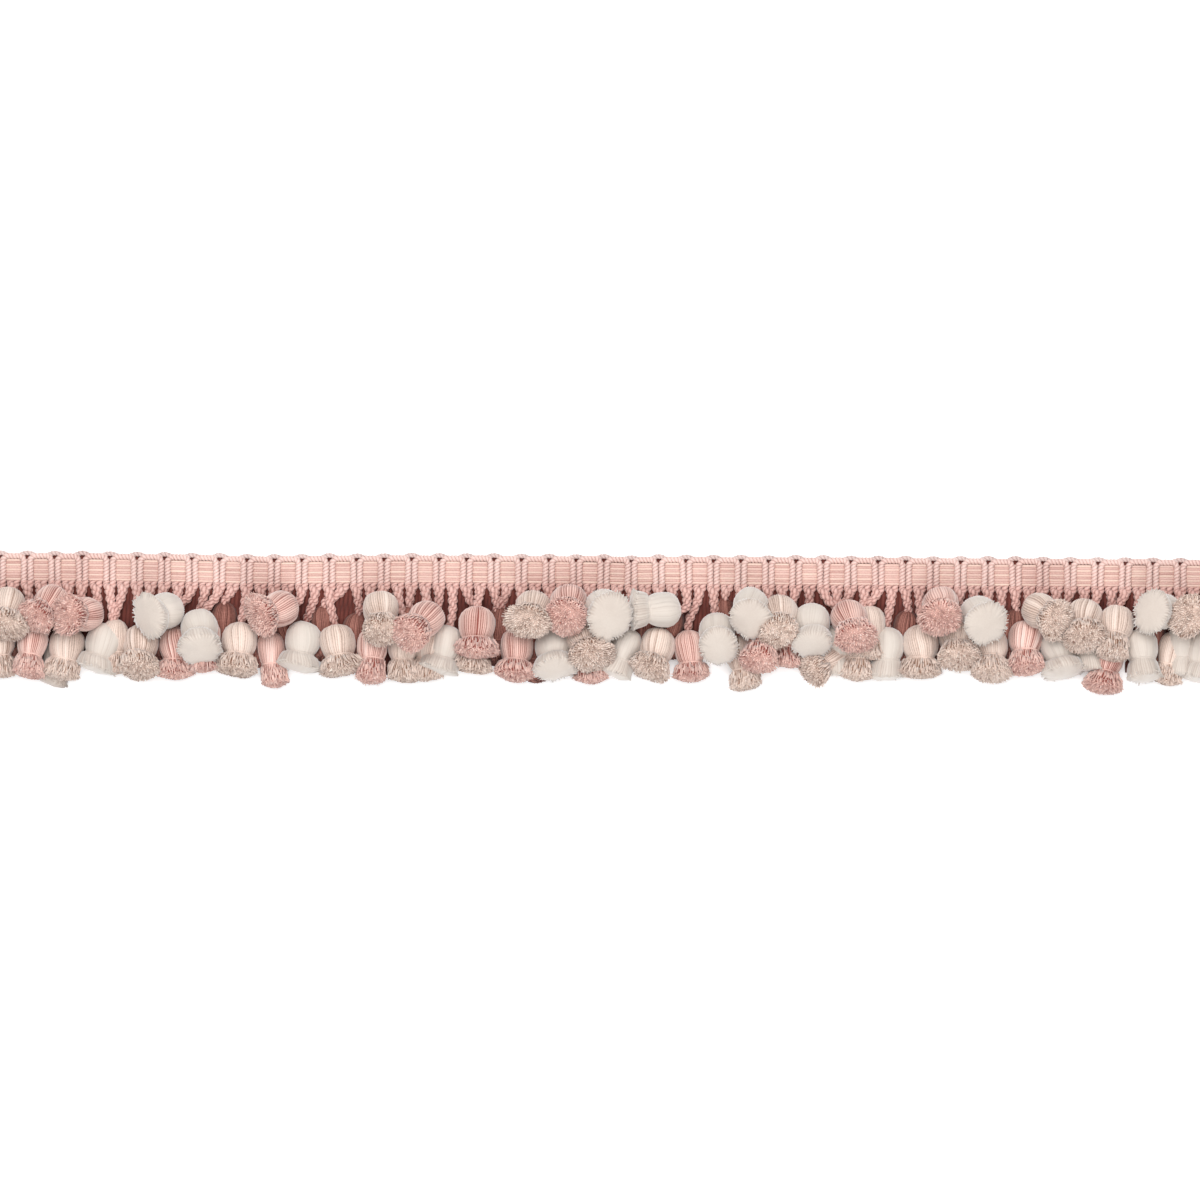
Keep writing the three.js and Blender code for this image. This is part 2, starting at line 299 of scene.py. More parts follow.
def half_outline(tassel):
    """Points (radius, height) from head to cut end, then the rim's radius and height, and the splay."""
    radius = tassel["radius"] * PLUMP
    flare = min(max((LONGEST - tassel["long"]) / SHORTER, 0), 1)
    points = [(radius * r, BULB_HALF * h) for h, r in BULB_OUTLINE]
    neck, low = points[-1]
    rim, crown = radius * splayed(RIM, flare), splayed(CROWN, flare)
    end = BULB_HALF - tassel["long"] + crown - splayed(PAST_CUT, flare)
    for share in BRUSH_RINGS:
        points.append((between(neck, rim, opening(share, flare)), between(low, end, share)))
    points += [(rim * r, end - crown * (1 - r * r)) for r in FACE_RINGS]
    return points, rim, end, flare


example = half_outline(tassels[0])
print(f"outline of {len(example[0])} points, rim {example[1]:.1f} mm")

# %% [markdown]
# The outline is spun a full turn, and then each vertex is moved by its strand: in at a groove, a little
# aside because no strand is laid evenly, and at the rim up or down, because the cut is never level. Each
# yarn has its own mix. The rose and oatmeal hanks have paler strands among the others, and the cream is
# almost even. The depth of its grooves is a share of the radius. How far each strand strays is thrown with
# dice. They are seeded, so that every run throws the same.

# %% Spin the outline and shape its strands
SEED = 7
dice = random.Random(SEED)
noise.seed_set(SEED)  # it would start from the clock otherwise
PLAIN_TONE, PALER = 0.56, 0.13
BRUSH_DARKER = 0.08  # the brush is a little darker than the bulb
ASIDE = 0.2  # of a strand's width
RAGGED = 0.35  # how far strands are cut long or short
JAGGED = 0.24  # a strand that is cut long stands out as well as down
TWIST = 0.03  # radians to a millimetre
ON_AXIS = 0.1
NEAR_END, FACE_EDGE = 1, 0.9  # what counts as the end, and as the cut face within the rim
LOOSE_BY = 3  # strands are quite loose this far below the bulb
WELD = 0.001
# In each mix, groove is how much darker a groove is painted, as shade, and depth is how far in it is drawn.
MIX = {
    "rose": {"spread": 0.11, "pale": 0.3, "groove": 0.46, "depth": 0.085, "cut": 0.35, "mottle": 0.1},
    "cream": {"spread": 0.04, "pale": 0.0, "groove": 0.1, "depth": 0.055, "cut": 0.42, "mottle": 0.05},
    "oatmeal": {"spread": 0.075, "pale": 0.25, "groove": 0.34, "depth": 0.085, "cut": 0.37, "mottle": 0.13},
    "dusky": {"spread": 0.1, "pale": 0.1, "groove": 0.4, "depth": 0.085, "cut": 0.37, "mottle": 0.15},
}


def stray(most):
    """A random amount to either side, at most this much."""
    return dice.uniform(-most, most)


def spin_body(tassel):
    """The turned body of a tassel, head up along Z, about the middle of its bulb."""
    points, rim, end, flare = half_outline(tassel)
    bm, tone = new_bmesh()
    column = [bm.verts.new((r, 0, z)) for r, z in ((0, points[0][1]), *points, (0, points[-1][1] - TIP))]
    edges = [bm.edges.new(pair) for pair in zip(column, column[1:])]
    turns = dict(cent=(0, 0, 0), axis=(0, 0, 1), dvec=(0, 0, 0), angle=FULL_TURN, steps=2 * STRANDS)
    bmesh.ops.spin(bm, geom=column + edges, use_merge=True, use_duplicate=False, **turns)
    bmesh.ops.remove_doubles(bm, verts=bm.verts, dist=WELD)
    mix = MIX[tassel["yarn"]]
    shade = []
    for _ in range(STRANDS):
        own_tone = dice.gauss(PLAIN_TONE, mix["spread"])
        shade.append(own_tone + PALER * (dice.random() < mix["pale"]))
    aside = [stray(ASIDE) * FULL_TURN / STRANDS for _ in range(STRANDS)]
    ragged = [stray(RAGGED) for _ in range(STRANDS)]
    twist = stray(TWIST)
    for v in bm.verts:
        from_axis = math.hypot(v.co.x, v.co.y)
        if from_axis < ON_AXIS:
            v[tone] = mix["cut"]
            continue
        index = round(math.atan2(v.co.y, v.co.x) / FULL_TURN * 2 * STRANDS) % (2 * STRANDS)
        strand, groove = index // 2, index % 2
        at_end = v.co.z < end + NEAR_END
        cut_face = at_end and from_axis < FACE_EDGE * rim
        loose = min(max(-BULB_HALF - v.co.z, 0) / LOOSE_BY, 1)
        # The tone of a groove is painted shade, darker still on the loose brush.
        v[tone] = shade[strand] - mix["groove"] * (1 + loose) * groove - BRUSH_DARKER * loose
        if cut_face:
            v[tone] = mix["cut"]
        drawn_in = 1 - mix["depth"] * groove
        if at_end and not cut_face:
            v.co.z += ragged[strand]
            drawn_in -= JAGGED * ragged[strand]
        turn = Matrix.Rotation(aside[strand] + twist * v.co.z, 3, "Z")
        v.co = turn @ Vector((v.co.x * drawn_in, v.co.y * drawn_in, v.co.z))
    return bm, tone, rim, end, flare


print(f"{STRANDS} strands round a tassel, in {len(MIX)} mixes")

# %% [markdown]
# The cut end shows the yarns end on. Each is a stub with three sides, only eight triangles, because it is
# repeated thousands of times. A golden angle spiral sets them: it fills a disc evenly with no rows. They
# lean outwards towards the rim, as the brush is splayed. The cream yarn is so fine and soft that its cut
# face is plain velvet, so there the turned surface is enough. Thinner ends stand out all round every rim.

# %% Set the cut ends of the yarn
END_PITCH = 0.84
GOLDEN = math.radians(137.508)
FACE_SHARE, RIM_SHARE = 0.95, 0.97  # of the rim's radius
ASTRAY, RIM_ASTRAY = 0.3, 0.4  # of the space between two ends
UNEVEN_CUT = 0.2
END = {"lean": (12, 60), "unsteady": 0.12, "long": 1.3, "longer": 1.2, "taper": 0.5}
LEAN_POWER = 1.3  # a higher one keeps the middle upright
END_THICK = (0.65, 0.8)  # of the pitch
PALE_ENDS, PALER_END = 0.15, 0.2  # the share that is paler, and by how much
RIM_ENDS = 84
RIM_END = {"lean": (30, 55), "unsteady": 0.4, "low": -0.2, "high": 0.9, "taper": 0.3}
RIM_THICK, SOFT_THICK = 0.3, 0.45
RIM_LONG, SOFT_LONG = (1.4, 3.6), (0.8, 2.6)
LOOSE_PALER = 0.1  # loose ends catch more light than the cut face


def add_end(bm, tone, place, radius, taper, long, shade):
    """One cut end: a stub with three sides that points up the Z axis of its place."""
    made = bmesh.ops.create_cone(
        bm, cap_ends=True, segments=3, radius1=radius, radius2=radius * taper, depth=long, matrix=place
    )
    for v in made["verts"]:
        v[tone] = shade


def round_axis(turn, radius, height, lean):
    """A place at that turn round the tassel, with its Z axis down the tassel and leaning outwards."""
    stand = Matrix.Rotation(turn, 4, "Z") @ Matrix.Translation((radius, 0, height))
    return stand @ Matrix.Rotation(math.pi - lean, 4, "Y")


def set_ends(bm, tone, tassel, rim, end, flare):
    """Adds the cut yarn ends over the end of the brush, and the thin ones round its rim."""
    soft = tassel["yarn"] == "cream"
    cut, spread = MIX[tassel["yarn"]]["cut"], MIX[tassel["yarn"]]["mottle"]
    count = 0 if soft else round((rim / END_PITCH) ** 2 * math.pi)
    for i in range(count):
        share = math.sqrt((i + 0.5) / count)
        turn = i * GOLDEN + stray(ASTRAY) * END_PITCH / (rim * share)
        height = end - splayed(CROWN, flare) * (1 - share**2) + stray(UNEVEN_CUT)
        lean = math.radians(splayed(END["lean"], flare)) * share**LEAN_POWER
        lean += dice.gauss(0, END["unsteady"])
        place = round_axis(turn, rim * share * FACE_SHARE, height, lean) @ Matrix.Rotation(i, 4, "Z")
        long = END["long"] + END["longer"] * flare * share
        shade = dice.gauss(cut, spread) + PALER_END * (dice.random() < PALE_ENDS)
        add_end(bm, tone, place, END_PITCH * dice.uniform(*END_THICK), END["taper"], long, shade)
    rim_ends = RIM_ENDS // 2 if soft else RIM_ENDS
    for i in range(rim_ends):
        turn = FULL_TURN * (i + stray(RIM_ASTRAY)) / rim_ends
        lean = math.radians(splayed(RIM_END["lean"], flare)) + stray(RIM_END["unsteady"])
        height = end + dice.uniform(RIM_END["low"], RIM_END["high"])
        place = round_axis(turn, rim * RIM_SHARE, height, lean)
        long = dice.uniform(*(SOFT_LONG if soft else RIM_LONG))
        thick = SOFT_THICK if soft else RIM_THICK
        add_end(bm, tone, place, thick, RIM_END["taper"], long, dice.gauss(cut + LOOSE_PALER, spread))


print(f"an end for each {END_PITCH} mm of a cut face, and {RIM_ENDS} round its rim")

# %% [markdown]
# The sides of the brush aren't smooth either. Short lengths of yarn lie over them from the neck to the rim,
# each with its own lean. The cream yarn is a soft one that keeps together, so it has none.

# %% Fluff the sides of the brush
SIDE_STRANDS = 110
SIDE = {"proud": 0.05, "thick": 0.4, "taper": 0.5}
STEEPER = 1.3  # they lean more near the neck than at the rim
SIDE_PLACES = (0.25, 0.95)  # shares of the way from the neck to the rim
SIDE_LONG, SIDE_LEAN = (1.8, 3.2), (-0.1, 0.35)


def fluff_sides(bm, tone, tassel, rim, end, flare):
    """Adds loose lengths of yarn over the sides of the brush."""
    neck, low = tassel["radius"] * PLUMP * NECK[1], BULB_HALF * NECK[0]
    cut, spread = MIX[tassel["yarn"]]["cut"], MIX[tassel["yarn"]]["mottle"]
    for i in range(SIDE_STRANDS):
        share = dice.uniform(*SIDE_PLACES)
        slope = math.atan2((rim - neck) * (STEEPER - share), low - end)
        lean = slope + dice.uniform(*SIDE_LEAN)
        radius = between(neck, rim, opening(share, flare)) + SIDE["proud"]
        place = round_axis(i * GOLDEN, radius, between(low, end, share), lean)
        long, shade = dice.uniform(*SIDE_LONG), dice.gauss(cut + LOOSE_PALER, spread)
        add_end(bm, tone, place, SIDE["thick"], SIDE["taper"], long, shade)


print(f"{SIDE_STRANDS} loose lengths to a brush")

# %% [markdown]
# A thread tied round the neck holds the hank. It is a small circle, spun round the axis.

# %% Tie the neck
TIE_THICK, TIE_TONE = 0.3, 0.45
TIE_SIDES, TIE_STEPS = 5, 24


def tie_neck(bm, tone, tassel):
    """Adds the thread round the neck."""
    neck = tassel["radius"] * PLUMP * NECK[1]
    place = Matrix.Translation((neck, 0, BULB_HALF * NECK[0])) @ Matrix.Rotation(math.pi / 2, 4, "X")
    ring = bmesh.ops.create_circle(bm, segments=TIE_SIDES, radius=TIE_THICK, matrix=place)["verts"]
    edges = list(dict.fromkeys(edge for v in ring for edge in v.link_edges))
    turns = dict(cent=(0, 0, 0), axis=(0, 0, 1), dvec=(0, 0, 0), angle=FULL_TURN, steps=TIE_STEPS)
    before = set(bm.verts) - set(ring)
    bmesh.ops.spin(bm, geom=ring + edges, use_merge=True, use_duplicate=False, **turns)
    for v in set(bm.verts) - before:
        v[tone] = TIE_TONE


print(f"ties {2 * TIE_THICK:.1f} mm thick")

# %% [markdown]
# No two lie alike. Each bulb is a little squashed by its neighbours, and its brush hangs a little off the
# axis. A slow noise makes both uneven, the brush more than the bulb, which is bound. Then the tassel is
# carried to its place, and where it would sink into the surface it is pressed flat. Yarn deep in the pile is
# in shade, and its tone falls a little towards the surface as painted shade.

# %% Make and place every tassel
PLUMPNESS, SPLAY = (0.96, 1.04), (0.9, 1.12)  # widths of the bulb and the brush, as shares
FREE_BY = 4  # the brush goes quite its own way this far below the bulb
BEND = 8  # degrees that a brush may hang off the axis
LUMP_SCALE = 0.17
LUMPS = (0.35, 0.8)  # how far the bulb and the brush are uneven
SPOTS = 99  # each tassel has its lumps from its own spot in the noise
ANY_TURN = 6  # radians, about its own axis
FLOOR_GAP, FLOOR_RELIEF = 0.05, 0.02  # relief keeps pressed faces from lying in one another
# painted shade deep in the pile: how much the tone falls at the surface, and the height where it stops
# falling
SHADE_AT_FLOOR, SHADE_UP_TO = 0.52, 6.2


def make_tassel(name, tassel, nodes=()):
    """One finished tassel, squeezed flat by its press, if it has one."""
    bm, tone, rim, end, flare = spin_body(tassel)
    tie_neck(bm, tone, tassel)
    set_ends(bm, tone, tassel, rim, end, flare)
    if tassel["yarn"] != "cream":
        fluff_sides(bm, tone, tassel, rim, end, flare)
    plump, splay = dice.uniform(*PLUMPNESS), dice.uniform(*SPLAY)
    bend = math.tan(math.radians(stray(BEND)))
    spot = Vector((dice.uniform(0, SPOTS), 0, 0))
    for v in bm.verts:
        below = max(-BULB_HALF - v.co.z, 0)
        loose = min(below / FREE_BY, 1)
        wide = between(plump, splay, loose)
        lump = noise.noise_vector(v.co * LUMP_SCALE + spot)
        lump *= between(*LUMPS, loose)
        v.co = Vector((v.co.x * wide + bend * below, v.co.y / wide, v.co.z)) + lump
    up = tassel["up"]
    side = up.cross(Vector((0, 0, 1))).normalized()
    turned = Matrix((side, up.cross(side), up)).transposed().to_4x4()
    about_axis = Matrix.Rotation(dice.uniform(0, ANY_TURN), 4, "Z")
    bm.transform(Matrix.Translation(tassel["middle"]) @ turned @ about_axis)
    press = tassel.get("press", 1)
    tassel["middle"].z *= press
    for v in bm.verts:
        v.co.z = max(v.co.z * press, FLOOR_GAP + FLOOR_RELIEF * abs(v.co.z))
        # painted shade: the tone falls towards the surface
        v[tone] -= SHADE_AT_FLOOR * max(1 - v.co.z / SHADE_UP_TO, 0)
    bm.transform(Matrix.Scale(MM, 4))
    # A tassel in painted shade is of the rose yarn.
    slot_name = "rose" if tassel["yarn"] == "dusky" else tassel["yarn"]
    return piece(name, bm, slot_name, finish[tassel["yarn"]], nodes)


for tassel in tassels:
    make_tassel(f"onion_{tassel['loop']:02d}", tassel, [tassel["node"]])
print(f"{len(tassels)} tassels, {sum(counts.values())} triangles")

# %% [markdown]
# ## The tucked tassels
# Every loop carries a tassel, and some of them are pushed under the pile, where only a bit of brush or bulb
# looks out. They are placed one by one, as the CAD ones are: x and y are the middle of the bulb, turn swings
# the brush to the right and tilt lifts it, in degrees. They lie on the surface and hang from loops still
# free. Some are pressed flat by their neighbours, and the darker ones are wholly in the shade, which their
# rose shows as painted shade.

# %% Place the tucked tassels
PRESSED = 0.5
TUCKED = [  # yarn, x, y, turn, tilt, flare, radius, and press if it isn't 1
    ("cream", -217.5, -34.5, -22, 0, 0.9, 5.2, PRESSED),
    ("oatmeal", -195.5, -27, 0, 0, 0.2, 5.0),
    ("rose", -159.5, -26, 5, 0, 0.4, 5.4),
    ("dusky", -152, -20, 0, 5, 0.3, 4.6, PRESSED),
    ("dusky", -112.5, -21.5, 0, 5, 0.3, 4.6, PRESSED),
    ("oatmeal", -69.5, -29, -5, 0, 0.3, 5.4),
    ("oatmeal", -50.5, -27.5, -10, 0, 0.9, 5.6),
    ("dusky", -41, -21.5, 0, 5, 0.3, 5.0, PRESSED),
    ("dusky", -28.5, -29, 0, 0, 0.2, 5.0, PRESSED),
    ("rose", -5.5, -30, 0, 0, 0.5, 5.0),
    ("dusky", 48.5, -17, 0, 5, 0.3, 3.8, PRESSED),
    ("rose", 74, -23, 0, 0, 0.3, 5.4),
    ("cream", 93.5, -27.5, 0, 0, 0.5, 5.0),
    ("oatmeal", 106.5, -20, 0, 10, 0.3, 5.6),
    ("oatmeal", 102.5, -28, -5, 5, 0.4, 5.4),
    ("cream", 194, -25, 0, 0, 0.5, 5.6),
    ("cream", 231.5, -26.5, 0, 0, 0.4, 5.0),
]


def tucked(yarn_name, x, y, turn, tilt, flare, radius, press=1.0):
    """A tassel that lies on the surface, described as the measured ones are."""
    turn, tilt = math.radians(turn), math.radians(tilt)
    up = Vector((-math.sin(turn) * math.cos(tilt), math.cos(turn) * math.cos(tilt), -math.sin(tilt)))
    middle = Vector((x, y, radius))
    long = LONGEST - SHORTER * flare
    return {"middle": middle, "up": up, "radius": radius, "long": long, "yarn": yarn_name, "press": press}


def loop_x(number):
    """Where along the heading a loop hangs, counted from the left."""
    return band_low.x + LOOP_PITCH * number


LOOPS = 2 * CELLS - 1
free = set(range(1, LOOPS + 1)) - {t["loop"] for t in tassels}
for row in TUCKED:
    tassel = tucked(*row)
    tassel["loop"] = min(free, key=lambda n: abs(loop_x(n) - tassel["middle"].x))
    free.remove(tassel["loop"])
    make_tassel(f"tucked_{tassel['loop']:02d}", tassel)
    tassels.append(tassel)
print(f"{len(TUCKED)} tucked tassels, {len(free)} loops still free")

# %% [markdown]
# The loops that are left carry tassels that are pressed flat under all the rest. Hardly any light comes to
# them, and their rose is darkened as painted shade, so the gaps in the pile look deep red and not white.

# %% Fill under the pile
UNDER_X, UNDER_Y, UNDER_TURN = 1, (-24.5, -20), 12
UNDER_FLARE, UNDER_RADIUS = 0.3, 4.8
for number in sorted(free):
    x, y, turn = loop_x(number) + stray(UNDER_X), dice.uniform(*UNDER_Y), stray(UNDER_TURN)
    tassel = tucked("dusky", x, y, turn, 0, UNDER_FLARE, UNDER_RADIUS, PRESSED)
    tassel["loop"] = number
    make_tassel(f"under_{number:02d}", tassel)
    tassels.append(tassel)
print(f"{len(tassels)} tassels in all, {sum(counts.values())} triangles")

# %% [markdown]
# ## Twisted cord
# The heading and the loops are of one cord: two plies twisted together. A circle drawn in at two sides is
# the section, and spinning it about its middle while it moves along makes the twist, as the cord maker's
# wheel does. That gives a straight length. Each ring of it is then carried to its place on a route. A curve
# with a bevel would be shorter to write, but can't twist two plies evenly round a bend.

# %% Spin a cord and lay it on a route
RING_STEP = 0.4
CORD_RADIUS = 1.3
CORD_TONES = (0.25, 0.62)  # painted shade between the plies, and painted light on them
CORD_LAY = 2.8  # one full turn of the plies
GROOVE_IN = 0.22  # how far the section is drawn in between the plies


def even(points, step):
    """The same route with points at equal steps."""
    points = [Vector(p) for p in points]
    along = [0.0]
    for a, b in zip(points, points[1:]):
        along.append(along[-1] + (b - a).length)
    count = max(round(along[-1] / step), 2)
    route, k = [], 0
    for i in range(count + 1):
        target = along[-1] * i / count
        while k < len(points) - 2 and along[k + 1] < target:
            k += 1
        route.append(points[k].lerp(points[k + 1], (target - along[k]) / (along[k + 1] - along[k])))
    return route


def spin_length(ring, rings, angle):
    """Adds a straight length to the ring's bmesh: the ring repeated rings times, and turned by angle."""
    bm, tone, verts = ring
    edges = list(dict.fromkeys(edge for v in verts for edge in v.link_edges))
    turns = dict(cent=(0, 0, 0), axis=(0, 0, 1), dvec=(0, 0, 1), angle=angle, steps=rings - 1)
    made = bmesh.ops.spin(bm, geom=verts + edges, use_merge=False, use_duplicate=False, **turns)
    last = [e for e in made["geom_last"] if isinstance(e, bmesh.types.BMEdge)]
    bmesh.ops.edgeloop_fill(bm, edges=edges)
    bmesh.ops.edgeloop_fill(bm, edges=last)


def square_to(route, i):
    """The directions level across the route and square to both, at its point i."""
    ahead = (route[min(i + 1, len(route) - 1)] - route[max(i - 1, 0)]).normalized()
    across = ahead.cross(Vector((0, 0, 1))).normalized()
    return across, ahead.cross(across)


def cord(
    points,
    radius=CORD_RADIUS,
    taper=1.0,
    shade_down=0.0,
    segments=12,
    step=RING_STEP,
    pinch=GROOVE_IN,
    lay=CORD_LAY,
):
    """A twisted cord along the points, that ends at taper times its radius and darker by the painted shade
    given.
    """
    route = even(points, step)
    part, tone = new_bmesh()
    ring = bmesh.ops.create_circle(part, segments=segments, radius=radius)["verts"]
    for v in ring:
        crest = abs(v.co.x) / radius
        v[tone] = between(*CORD_TONES, crest)
        v.co *= 1 - pinch * (1 - crest)
    spin_length((part, tone, ring), len(route), FULL_TURN * step * (len(route) - 1) / lay)
    for v in part.verts:
        i = round(v.co.z)
        across, square = square_to(route, i)
        share = i / (len(route) - 1)
        # painted shade, deeper towards the end of the cord
        v[tone] -= shade_down * share
        v.co = route[i] + (across * v.co.x + square * v.co.y) * between(1, taper, share)
    return part


print(f"cord {2 * CORD_RADIUS} mm thick, its plies make a full turn in {CORD_LAY} mm")

# %% [markdown]
# ## The heading
# On the loom the cord goes up between two boxes, over the top in an arch and down again, on top of the warp
# threads. Under each box it makes a second, hidden turn, which lifts the box, and whose crown shows as a
# small scallop between two arches.

# %% Lay the arches
ARCH = {"half": 4.2, "corner": 2.2, "crown": 4.6, "foot": -6.6, "height": 2.6}
UNEVEN_CROWN, ARCH_LEAN = 0.12, 0.15


def arch_route(x):
    """Up, over and down again round the box in the middle of a repeat."""
    half, corner, crown = ARCH["half"], ARCH["corner"], ARCH["crown"] + stray(UNEVEN_CROWN)
    lean = stray(ARCH_LEAN)
    bends = [math.radians(a) for a in range(90, -1, -15)]
    right = [(half - corner + corner * math.cos(a), crown - corner + corner * math.sin(a)) for a in bends]
    flat = [(-half, ARCH["foot"]), *[(-a, b) for a, b in reversed(right)], *right, (half, ARCH["foot"])]
    return [(x + a + lean * b / crown, b + line(x + a), ARCH["height"]) for a, b in flat]


def gather(parts):
    """All the parts in one bmesh, in metres; small parts are far quicker to shape on their own."""
    bm, _ = new_bmesh()
    for part in parts:
        mesh = bpy.data.meshes.new("part")
        part.to_mesh(mesh)
        part.free()
        bm.from_mesh(mesh)
        bpy.data.meshes.remove(mesh)
    bm.transform(Matrix.Scale(MM, 4))
    return bm


bm = gather(cord(arch_route(x)) for x in cell_centres)
arches = piece("gimp_arches", bm, "gimp", nodes=["heading_cord"])
print(f"{CELLS} arches, {counts['gimp_arches']} triangles")

# %% [markdown]
# Only the crown of the hidden turn is made, because the rest of it would never be seen. It comes up from
# under one arch and goes down under the next. The cord is pulled tight there, so it is thinner.

# %% Lay the scallops
SCALLOP = {"half": 3.3, "foot": 4.5, "crown": 5.7, "low": 1.5, "height": 2.6, "radius": 1.02}
SCALLOP_CROWNS = (-0.15, 0.2)  # how far a crown may be off
SCALLOP_STEPS, FULLNESS = 6, 0.8  # steps to each side; a lower power makes a fuller curve


def scallop_route(x):
    """The crown of the hidden turn, from under one arch to under the next."""
    crown = SCALLOP["crown"] + dice.uniform(*SCALLOP_CROWNS)
    route = []
    for i in range(2 * SCALLOP_STEPS + 1):
        share = i / SCALLOP_STEPS - 1
        rise = math.cos(share * math.pi / 2) ** FULLNESS
        y, z = between(SCALLOP["foot"], crown, rise), between(SCALLOP["low"], SCALLOP["height"], rise)
        route.append((x + SCALLOP["half"] * share, y + line(x), z))
    return route


bm = gather(cord(scallop_route(x), SCALLOP["radius"]) for x in cell_edges)
piece("edge_scallops", bm, "gimp", finish["edge"], nodes=["heading_cord"])
print(f"{len(cell_edges)} scallops, {counts['edge_scallops']} triangles")

# %% [markdown]
# The warp threads run the whole length, side by side. They rise over the hidden turns, which makes the
# boxes, and dive under the legs of the arches. One spin with no turn, only a step along, makes a thread,
# and moving its rings up and down makes the boxes. Dark and pale threads take turns, so each can be seen.

# %% Run the warp threads
WARPS = {"count": 9, "first": -4.75, "pitch": 0.95, "radius": 0.57, "raised": 2.35, "dipped": 1.5}
UNEVEN_RISE = 0.05
WARP_SHADE, EVERY_OTHER, SHADE_SPREAD = 0.37, 0.15, 0.06
TOP_LIGHT_UNDER_SHADE = 0.2  # painted light and shade: a thread is paler on top and darker underneath
RISE = [(-0.5, 0), (-0.3, 0), (-0.24, 0.75), (-0.19, 1), (0.19, 1), (0.24, 0.75), (0.3, 0)]


def warp_route(y):
    """The rings of one warp thread, from end to end of the heading."""
    route = []
    for x in cell_centres:
        for share, rise in RISE:
            z = between(WARPS["dipped"], WARPS["raised"], rise) + stray(UNEVEN_RISE)
            route.append(Vector((x + share * CELL, y + line(x + share * CELL), z)))
    return [*route, Vector((band_high.x, y, WARPS["dipped"]))]


def thread(route, radius, shades):
    """A round thread through the route, with a shade for each box it runs over."""
    part, tone = new_bmesh()
    ring = bmesh.ops.create_circle(part, segments=6, radius=radius)["verts"]
    for v in ring:
        # painted light on top of the thread and painted shade under it
        v[tone] = TOP_LIGHT_UNDER_SHADE * v.co.y / radius
    spin_length((part, tone, ring), len(route), 0)
    for v in part.verts:
        i = round(v.co.z)
        v[tone] += shades[i // len(RISE)]
        v.co = route[i] + Vector((0, v.co.x, v.co.y))
    return part


threads = []
for k in range(WARPS["count"]):
    y = WARPS["first"] + WARPS["pitch"] * k
    own_shade = WARP_SHADE + EVERY_OTHER * (-1) ** k
    shades = [dice.gauss(own_shade, SHADE_SPREAD) for _ in range(CELLS + 1)]
    threads.append(thread(warp_route(y), WARPS["radius"], shades))
warps = piece("warp_threads", gather(threads), "warp", nodes=["heading_band"])
print(f"{WARPS['count']} warp threads, {counts['warp_threads']} triangles")

# %% [markdown]
# Under it all is a narrow woven ribbon. It is a strip of cloth. A box, subdivided along its length so that
# it follows the line of the heading, is all it needs.

# %% Weave the ribbon
RIBBON_THICK, RIBBON_TONE = 1.2, 0.5
UNDER_ARCHES = 0.8  # how far it reaches past the band, under the crowns of the arches
bm, tone = new_bmesh()
bmesh.ops.create_cube(bm, size=1)
length, width = band_high.x - band_low.x, BAND_TOP - BAND_BOTTOM + UNDER_ARCHES
bmesh.ops.scale(bm, vec=(length, width, RIBBON_THICK), verts=bm.verts)
bmesh.ops.translate(bm, vec=(0, BAND_BOTTOM + width / 2, RIBBON_THICK / 2), verts=bm.verts)
lengthwise = [e for e in bm.edges if abs((e.verts[0].co - e.verts[1].co).x) > CELL]
bmesh.ops.subdivide_edges(bm, edges=lengthwise, cuts=2 * CELLS - 1, use_grid_fill=True)
for v in bm.verts:
    v.co.y += line(v.co.x)
    v[tone] = RIBBON_TONE
bm.transform(Matrix.Scale(MM, 4))
ribbon = piece("woven_ribbon", bm, "warp", finish["ribbon"], nodes=["heading_band"])
print(f"ribbon {length:.0f} by {width:.1f} mm")

# %% [markdown]
# ## The hanging loops
# Two legs of cord leave the heading side by side, close up and twist round each other down to the head of a
# tassel. The middle line of a loop is a cubic curve: it starts straight down out of the heading and comes
# into the head along the tassel's axis. Each leg winds round that line, and its colour darkens on its way
# down as painted shade.

# %% Twist the loops
LEG = {"spread": 1.3, "closed": 0.8, "turn_length": 7.0, "straight": 0.8, "closing": 4.4}
CLOSED_BY = 0.6  # of the length of a short loop
LEG_RADIUS, LEG_TAPER = 1.5, 0.7
LEG_SHADE = (0.05, 0.4)  # painted shade: less light comes to a loop down between the tassels
ROOT = {"y": -5.4, "under_box": 2.1, "between": 2.6}
INTO_HEAD = 0.6
OUT, RISING, INTO = 0.52, 0.12, 0.4  # how far the curve is pulled at its ends, as shares of its reach
LOWEST = 1.9
CURVE_STEPS = 40


def middle_line(tassel):
    """Points down the middle of a loop, from the heading into its tassel."""
    number = tassel["loop"]
    x = loop_x(number)
    height = ROOT["between"] if number % 2 == 0 else ROOT["under_box"]
    root = Vector((x, ROOT["y"] + line(x), height))
    head = tassel["middle"] + tassel["up"] * (BULB_HALF - INTO_HEAD)
    reach = (root - head).length
    first = root + Vector((0, -OUT * reach, RISING * reach))
    second = head + tassel["up"] * INTO * reach
    second.z = max(second.z, LOWEST)
    points = []
    for i in range(CURVE_STEPS + 1):
        t = i / CURVE_STEPS
        s = 1 - t
        point = root * s**3 + first * 3 * s * s * t + second * 3 * s * t * t + head * t**3
        point.z = max(point.z, LOWEST)
        points.append(point)
    return even(points, RING_STEP)


